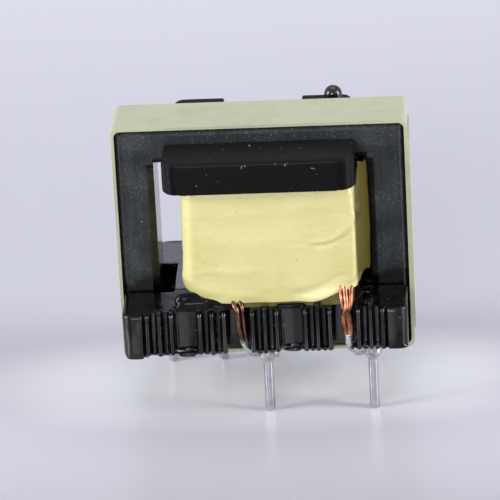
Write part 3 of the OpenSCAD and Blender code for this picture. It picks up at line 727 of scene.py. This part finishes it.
def outline_path(limits, corners):
    """A closed path along a rounded rectangle with bowed sides, in millimetres."""
    left, right, front, rear = limits
    a, b, c, d = corners
    turns = ((right - a, rear - a, 0, a), (left + b, rear - b, 90, b),
             (left + c, front + c, 180, c), (right - d, front + d, 270, d))
    path = []
    for number, (x, y, first, radius) in enumerate(turns):
        for step in range(ARC):
            across, along = ahead(first + step * 90 / (ARC - 1))
            path.append((x + radius * across, y + radius * along))
        next_x, next_y, next_first, next_radius = turns[(number + 1) % 4]
        across, along = ahead(next_first)
        begin, end = path[-1], (next_x + next_radius * across, next_y + next_radius * along)
        out = ahead(first + 90)
        for k in range(1, SIDE):
            t = k / SIDE
            push = BOW[number] * (1 - (2 * t - 1) ** 4)
            path.append((begin[0] + (end[0] - begin[0]) * t + out[0] * push,
                         begin[1] + (end[1] - begin[1]) * t + out[1] * push))
    return path + [path[0]]


print("an outline has", 4 * (ARC + SIDE - 1), "points before they are spread")


# %% Points at even distances along an outline
def spread(path, count):
    """So many points at even distances along a closed path."""
    lengths = [0]
    for a, b in zip(path, path[1:]):
        lengths.append(lengths[-1] + math.dist(a, b))
    points, at = [], 0
    for k in range(count):
        want = lengths[-1] * k / count
        while lengths[at + 1] < want:
            at += 1
        t = (want - lengths[at]) / (lengths[at + 1] - lengths[at])
        points.append([a + (b - a) * t for a, b in zip(path[at], path[at + 1])])
    return points


AROUND = 240                   # points round the coil
outlines = {}                  # one for each pair of limits and corners that was asked for


def coil_outline(limits, corners):
    """The outline of a coil as evenly spread points; each is worked out once."""
    key = (limits, corners)
    if key not in outlines:
        outlines[key] = spread(outline_path(limits, corners), AROUND)
    return outlines[key]


OUTSIDE = (-5.22, 6.36, -5.885, 5.285)   # left, right, front and rear of the wound coil
line = coil_outline(OUTSIDE, (1.2, 1.2, 1.2, 0.4))
print("the coil is about", round(AROUND * math.dist(line[0], line[1]), 1), "mm round")


# %% A sleeve of points that can take any shape
def ease(low, high, value):
    """Goes softly from 0 at low to 1 at high."""
    t = min(max((value - low) / (high - low), 0), 1)
    return t * t * (3 - 2 * t)


def between(table, value):
    """Reads a table of places and values, with soft steps between its rows."""
    for (low, at_low), (high, at_high) in zip(table, table[1:]):
        if value <= high:
            return at_low + (at_high - at_low) * ease(low, high, value)
    return table[-1][1]


def wound_sleeve(name, around, levels, shape):
    """An open sleeve of points: shape(level, number) gives the place of each in millimetres."""
    piece = start(name, "cylinder", vertices=around, radius=mm, depth=mm, end_fill_type="NOTHING")
    edit(piece)
    select(piece, "edges", lambda e: abs(e.verts[0].co.z - e.verts[1].co.z) > 0.5 * mm)
    bpy.ops.mesh.subdivide(number_cuts=levels - 2)
    bpy.ops.object.mode_set(mode="OBJECT")
    for vertex in piece.data.vertices:
        number = round(math.atan2(vertex.co.y, vertex.co.x) / math.tau * around) % around
        level = min(max(vertex.co.z / mm + 0.5, 0), 1)
        vertex.co = Vector(shape(level, number)) * mm
    print(name, "has", levels, "rows of", around, "points")
    return piece


print("half way, ease gives", ease(0, 1, 0.5))

# %% [markdown]
# Creases are listed as lines in the front's own plane, with a width and a
# height; a height below nothing is a hollow. How deep a point lies in a crease
# follows from its distance to the line, and each line fades at both ends.

# %% Creases of the tape
CREASES = [  # points as (x, z), width, height
    (((6.25, 11.3), (6.20, 10.8), (5.85, 10.2), (5.4, 9.75), (4.9, 9.4), (4.2, 9.17), (2.6, 9.08)),
     0.15, 0.13),
    (((6.1, 10.0), (5.5, 9.55), (4.9, 9.2), (4.2, 8.98), (3.0, 8.9)), 0.2, -0.10),
    (((-4.9, 11.6), (-2.0, 11.2), (1.5, 11.35), (4.8, 11.9)), 0.5, 0.05),
    (((-5.0, 7.4), (-2.6, 7.15), (0.5, 7.25)), 0.35, 0.045),
    (((-4.4, 6.1), (-2.5, 5.55), (-0.2, 5.5)), 0.25, 0.06),
    (((1.6, 5.35), (2.9, 5.62), (4.1, 6.1), (4.95, 6.6), (5.5, 6.95)), 0.26, -0.10),
    (((-4.2, 9.6), (-1.0, 9.2), (1.6, 9.35)), 0.6, 0.04),
]
FAR_AWAY = 9                   # farther than any point lies from a crease


def along_line(x, z, line):
    """Distance of a point from a drawn line, and how far along it lies, from 0 to 1."""
    best = (FAR_AWAY, 0)
    for k, (a, b) in enumerate(zip(line, line[1:])):
        dx, dz = b[0] - a[0], b[1] - a[1]
        t = min(max(((x - a[0]) * dx + (z - a[1]) * dz) / (dx * dx + dz * dz), 0), 1)
        best = min(best, (math.hypot(x - a[0] - dx * t, z - a[1] - dz * t),
                          (k + t) / (len(line) - 1)))
    return best


def front_share(y):
    """1 on the front of the coil, and 0 once round its corners."""
    return ease(3.6, 5.2, -y)


def crease_height(x, y, z):
    """How far the creases push a point of the front outwards."""
    push = 0
    for line, width, height in CREASES:
        gap, way = along_line(x, z, line)
        ends = ease(0, 0.12, way) * ease(0, 0.2, 1 - way)
        push += height * math.exp(-(gap / width) ** 2) * ends * front_share(y)
    return push


print(len(CREASES), "creases; at x 0, z 11 the front moves", round(crease_height(0, -5.8, 11), 3))

# %% [markdown]
# Three more things make it tape and not a box. The hem curls outwards at the
# right and is lifted at both lower corners, by the leads at the right and by a
# pool of varnish at the left. The strip is a little fuller half way up than at
# its edges. And its right side bulges towards the core.

# %% Shape of the tape
TAPE_Z = (4.97, 12.78)         # its lower and upper edge
DRAWN_IN = [(0.0, 0.055), (0.05, 0.03), (0.16, 0), (0.5, -0.06), (0.86, 0), (0.96, 0.03),
            (1.0, 0.12)]       # from the lower edge at 0 to the upper one at 1
CORNER = 1.2                   # radius of the coil's corners, in millimetres
FRONT_ONLY = -3.5              # creases and hem lie in front of this
RIGHT_FROM = 4                 # the right side's bulge starts right of this
BULGE, BULGE_LIMIT = 0.98, 7.12


def tape_outline(level):
    """The outline at a level from 0 to 1: swollen at the lower left, and rounder at the hem."""
    swell = 0.20 * min(1, max(0, 1 - level / 0.45) * 1.6)
    inset = between(DRAWN_IN, level)
    limits = (OUTSIDE[0] - swell + inset, OUTSIDE[1] - 0.18 - inset,
              OUTSIDE[2] + inset, OUTSIDE[3] - inset)
    hem = CORNER + 1.1 * max(0, 1 - level / 0.18) ** 1.3
    return coil_outline(limits, (CORNER, CORNER, hem, 0.4 + 0.5 * (hem - CORNER)))


def hem_lift(x, y, level):
    """How far the hem is raised at its lower corners."""
    near = max(0, 1 - math.hypot(x - 5.5, y + 4.855) / 2.7)
    lift = near * near * (3 - 2 * near) + 0.6 * ease(3.0, 5.3, -x) * (y < 0)
    return lift * max(0, 1 - level / 0.35)


def tape_place(level, number):
    """The place of a point of the tape in millimetres."""
    x, y = tape_outline(level)[number]
    z = TAPE_Z[0] + (TAPE_Z[1] - TAPE_Z[0]) * level
    z += hem_lift(x, y, level)
    out = Vector((x - 0.4, (y + 0.3) * 1.1, 0)).normalized()
    push = 0.035 * noise.noise(Vector((x, y, z)) * 0.5)
    push += 0.015 * noise.noise(Vector((x, y, z * 3)) * 0.9)
    if y < FRONT_ONLY:
        push += crease_height(x, y, z)
        hem = math.exp(-(level / 0.05) ** 2)
        curl = 0.20 * hem * ease(1.8, 3.4, x) + 0.05 * hem * math.sin(x * 2.1)
        push += curl * front_share(y)
    if x > RIGHT_FROM:
        bow = BULGE * max(0, 1 - abs((y + 0.4) / 4.75) ** 2.4)
        x = min(x + out.x * push + bow, BULGE_LIMIT)
        rise = 0.74 + 0.55 * ease(2.6, 4.3, -y)
        z += rise * ease(6.36, 6.5, x) * ease(0.75, 1, level)
        z += 0.9 * ease(6.1, 6.9, x) * max(0, 1 - level / 0.35)
        return x, y + out.y * push, z
    return x + out.x * push, y + out.y * push, z


print("the tape runs from z", TAPE_Z[0], "to", TAPE_Z[1], "mm")

# %% Wind the outer tape
TAPE_ROWS, TAPE_THICK = 90, 0.09
tape = wound_sleeve("winding_wrap", AROUND, TAPE_ROWS, tape_place)
modify(tape, "SOLIDIFY", thickness=TAPE_THICK * mm, offset=-1)
finished(tape, winding_tape, "winding_tape", smooth=50)
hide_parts("outer_tape")

# %% [markdown]
# Below the lifted hem the layer beneath looks out, brown: partly with varnish and
# partly with painted shade under the hem. Only its lower edge shows, so a low
# sleeve with a slightly wavy edge is enough.

# %% The lower edge of the layer beneath, in painted shade and varnish
LINER_Z, LINER_HEIGHT = 4.58, 0.9


def liner_place(level, number):
    """The place of a point of the liner in millimetres."""
    limits = (OUTSIDE[0] + 0.22, OUTSIDE[1] - 0.42, OUTSIDE[2] + 0.20, OUTSIDE[3] - 0.24)
    x, y = coil_outline(limits, (1.1, 1.1, 1.1, 0.5))[number]
    wave = 0.06 * noise.noise(Vector((x, y, 0)) * 0.8)
    return x, y, LINER_Z + LINER_HEIGHT * level + wave


liner = wound_sleeve("hem_liner", AROUND, 8, liner_place)
modify(liner, "SOLIDIFY", thickness=0.06 * mm, offset=-1)
finished(liner, shaded_tape, "winding_tape", smooth=50)

# %% [markdown]
# ## Leads
#
# Each winding leaves its layer as bare enamelled wire, drops through a slot of
# the pin rail and turns under it to its pin. The strands of the secondary are
# only twisted by hand, so they cross and part. A wire is a curve with a round
# bevel: a smooth curve is drawn through a few points and made a mesh. A row of
# cylinders would show a kink at every joint.

# %% Draw a wire through points
STEPS = 6                      # steps of the smooth curve between two given points


def smooth_path(points):
    """A smooth curve that passes through every given point."""
    path = []
    last = len(points) - 1
    for i in range(last):
        a, b, c, d = (Vector(points[min(max(i + k, 0), last)]) for k in (-1, 0, 1, 2))
        for step in range(STEPS):
            t = step / STEPS
            path.append(0.5 * (2 * b + (c - a) * t + (2 * a - 5 * b + 4 * c - d) * t * t
                               + (3 * b - a - 3 * c + d) * t ** 3))
    return path + [Vector(points[-1])]


def wire(name, points, diameter, ends=(1, 1)):
    """A round wire through points in millimetres; ends are its widths at both ends, as shares."""
    path = smooth_path(points)
    deselect()
    bpy.ops.curve.primitive_nurbs_path_add()
    piece = bpy.context.object
    piece.name = name
    curve = piece.data
    curve.splines.clear()
    spline = curve.splines.new("POLY")
    spline.points.add(len(path) - 1)
    for number, (target, place) in enumerate(zip(spline.points, path)):
        target.co = (*(place * mm), 1)
        t = number / (len(path) - 1)
        target.radius = ends[0] + (ends[1] - ends[0]) * t
    curve.dimensions = "3D"
    curve.bevel_depth = diameter / 2 * mm
    curve.bevel_resolution = 4
    curve.use_fill_caps = True
    curve.resolution_u = 1
    bpy.ops.object.convert(target="MESH")
    return bpy.context.object


print("a path of 3 points becomes", len(smooth_path([(0, 0, 0), (1, 0, 0), (1, 1, 0)])), "points")

# %% [markdown]
# Each strand is listed, a point for each place where it bends: out of its
# layer, over the lip of the slot, down the slot, under the rail and to the pin.
# The three of a lead share that way, and in the finish two of them change places.

# %% Strands of the secondary's start
STRAND = 0.32                  # diameter of one strand, in millimetres
START_STRANDS = {
    "front": ((-2.12, -5.42, 6.2), (-2.12, -5.45, 5.5), (-2.06, -5.82, 5.02), (-1.98, -6.12, 4.9),
              (-1.80, -6.34, 4.5), (-1.74, -6.42, 3.4), (-1.60, -6.44, 2.8), (-1.32, -6.25, 2.05),
              (-1.02, -5.85, 1.52), (-0.62, -5.2, 1.36), (-0.42, -4.8, 1.42)),
    "beside": ((-1.72, -5.42, 6.2), (-1.72, -5.45, 5.5), (-1.60, -5.80, 5.0), (-1.50, -6.02, 4.72),
               (-1.42, -6.16, 4.0), (-1.38, -6.18, 3.1), (-1.30, -6.18, 2.4), (-1.12, -6.0, 1.72),
               (-0.86, -5.5, 1.3), (-0.52, -4.95, 1.14), (-0.36, -4.8, 1.1)),
    "behind": ((-1.92, -5.30, 6.2), (-1.92, -5.30, 5.5), (-1.84, -5.62, 4.96), (-1.76, -5.86, 4.62),
               (-1.70, -6.04, 3.8), (-1.66, -6.08, 3.0), (-1.55, -6.06, 2.3), (-1.30, -5.8, 1.6),
               (-0.95, -5.3, 1.02), (-0.55, -4.85, 0.86), (-0.36, -4.78, 0.84)),
}
strands = [wire("strand_start_" + name, points, STRAND) for name, points in START_STRANDS.items()]
print("start:", [strand.name for strand in strands])

# %% Strands of the secondary's finish
FINISH_STRANDS = {
    "left": ((4.98, -5.30, 6.9), (5.00, -5.40, 6.4), (5.05, -5.70, 6.05), (5.12, -5.98, 5.42),
             (5.20, -6.28, 4.75), (5.36, -6.46, 4.35), (5.52, -6.40, 3.8), (5.58, -6.34, 3.1),
             (5.52, -6.34, 2.5), (5.60, -6.2, 1.86), (5.95, -5.75, 1.42), (6.45, -5.1, 1.40),
             (6.6, -4.85, 1.42)),
    "middle": ((5.36, -5.30, 6.6), (5.37, -5.40, 6.25), (5.38, -5.72, 5.95), (5.40, -6.10, 5.40),
               (5.44, -6.40, 4.78), (5.34, -6.52, 4.40), (5.20, -6.46, 3.95), (5.24, -6.38, 3.2),
               (5.36, -6.36, 2.6), (5.50, -6.2, 1.8), (5.9, -5.7, 1.2), (6.4, -5.0, 1.12),
               (6.6, -4.8, 1.1)),
    "right": ((5.72, -5.18, 6.6), (5.74, -5.30, 6.2), (5.78, -5.70, 5.86), (5.74, -6.02, 5.38),
              (5.68, -6.32, 4.72), (5.52, -6.32, 4.30), (5.64, -6.42, 3.85), (5.70, -6.40, 3.1),
              (5.66, -6.30, 2.5), (5.66, -6.1, 1.8), (6.0, -5.55, 1.0), (6.45, -4.95, 0.84),
              (6.62, -4.78, 0.84)),
}
strands += [wire("strand_finish_" + name, points, STRAND) for name, points in FINISH_STRANDS.items()]
print("finish:", [strand.name for strand in strands[3:]])

# %% [markdown]
# The turns themselves lie under the tape, so a copy of the solid's ring does for
# them, cut where it ends above the leads.

# %% Turns of the secondary
RING_FOOT = 6.0
turns = copy_of("secondary_winding", "secondary_turns", ((0, 0, RING_FOOT), (0, 0, -1)))
for piece in strands + [turns]:
    finished(piece, copper, "enamelled_copper")
    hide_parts("secondary_winding")

# %% [markdown]
# ## Soldered ends and pins
#
# Under the rail each lead is wrapped round its pin and dipped in solder, which
# nearly fills the grooves and draws out to a cone along the pin. The solid has
# the turns and the cone as sharp steps, and melting it would keep them. So each
# cone is a sleeve again: its outline comes from a table of heights and radii,
# noise makes it lumpy, and a faint screw line shows the turns inside.

# %% Outline of a soldered joint
CONE = [(0.10, 0.335), (0.20, 0.35), (0.34, 0.45), (0.50, 0.60), (0.66, 0.70), (0.82, 0.74),
        (1.20, 0.73), (1.45, 0.72), (1.66, 0.62), (1.78, 0.40)]   # height and radius
CONE_FOOT, CONE_HEIGHT = 0.10, 1.68
CONE_AROUND, CONE_LEVELS = 48, 36
TURN_RISE = 0.34               # from one wrapped turn to the next


def cone_place(x, y, seed):
    """Shape of a soldered cone round a pin at x, y in millimetres; seed makes each its own."""
    def place(level, number):
        z = CONE_FOOT + CONE_HEIGHT * level
        angle = number / CONE_AROUND * math.tau
        radius = between(CONE, z)
        side = Vector((math.cos(angle), math.sin(angle), 0))
        lump = noise.noise(Vector((side.x * 1.4, side.y * 1.4, z * 1.6 + seed)))
        turn = math.sin((z - 0.7) * math.tau / TURN_RISE + angle) * ease(1.0, 1.2, z) * 0.02
        radius += (0.05 * lump + turn) * ease(0.3, 0.8, z)
        sag = 0.07 * ease(0.4, 1.0, z)
        return x + radius * side.x + sag * math.cos(seed), y + radius * side.y, z
    return place


print("a joint is", 2 * max(radius for height, radius in CONE), "mm wide")

# %% Wrapped and soldered joints
for number, name in enumerate(sorted(n for n in nodes if n.startswith("joint"))):
    low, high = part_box(name.replace("joint", "pin"))
    middle = (low + high) / 2 / mm
    cone = wound_sleeve(name.replace("joint", "solder"), CONE_AROUND, CONE_LEVELS,
                        cone_place(middle.x, middle.y, number * 1.7))
    modify(cone, "SOLIDIFY", thickness=0.05 * mm, offset=-1)
    finished(cone, solder, "solder", smooth=80)
    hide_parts(name)

# %% [markdown]
# Where the strands reach the rail's lower edge, solder has drawn up between them
# and made one thick tail. A thicker wire along the same way, melted soft, is
# that tail; its upper end is thinner, so it seems to run out on the copper.

# %% Tinned tails
TAILS = {
    "tail_finish": (((5.47, -6.44, 2.75), (5.50, -6.46, 2.3), (5.62, -6.32, 1.85),
                     (5.98, -5.9, 1.45), (6.45, -5.2, 1.30), (6.62, -4.9, 1.28)), 0.56, (0.8, 1)),
    "tail_start": (((-1.46, -6.46, 2.35), (-1.30, -6.34, 2.0), (-1.02, -5.95, 1.55),
                    (-0.62, -5.3, 1.30), (-0.42, -4.9, 1.28)), 0.44, (0.75, 1)),
}
for name, (points, diameter, ends) in TAILS.items():
    tail = wire(name, points, diameter, ends)
    melt(tail, 0.04, 2)
    finished(tail, solder, "solder", smooth=80)

# %% [markdown]
# The pins are drawn wire with a rounded end, so a cylinder with a bevelled rim
# is the right start. A few cuts give its sides rows, and above the lowest turns
# the pin is a little thinner, as it is bare of tin there.

# %% Pins
PIN_RADIUS, PIN_ROUND = 0.325, 0.17      # the wire, and the rounding of its end
PIN_ROWS = (0.10, 0.75, 1.70)            # heights at which its sides are cut into rows
BARE_FROM, BARE_SHARE = 1.6, 0.92        # the height from which the wire is bare

for name in sorted(n for n in nodes if n.startswith("pin")):
    low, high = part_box(name)
    middle = (low + high) / 2
    pin = start(name.replace("pin", "post"), "cylinder", vertices=40, radius=PIN_RADIUS * mm,
                depth=high.z - low.z, location=middle)
    edit(pin)
    bottom = -(high.z - low.z) / 2
    select(pin, "edges", lambda e: all(abs(v.co.z - bottom) < 0.01 * mm for v in e.verts))
    bpy.ops.mesh.bevel(offset=PIN_ROUND * mm, segments=5, affect="EDGES")
    for row in PIN_ROWS:
        bpy.ops.mesh.select_all(action="SELECT")
        bpy.ops.mesh.bisect(plane_co=(0, 0, row * mm), plane_no=(0, 0, 1))
    select(pin, "verts", lambda v: v.co.z + middle.z > BARE_FROM * mm)
    bpy.ops.transform.resize(value=(BARE_SHARE, BARE_SHARE, 1), center_override=middle)
    bpy.ops.object.mode_set(mode="OBJECT")
    finished(pin, tin, "tinned_wire", smooth=50)
    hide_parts(name)

# %% [markdown]
# ## Sizes
#
# The dressing must not change the size of the object.

# %% Finish
print("the dressing is finished")
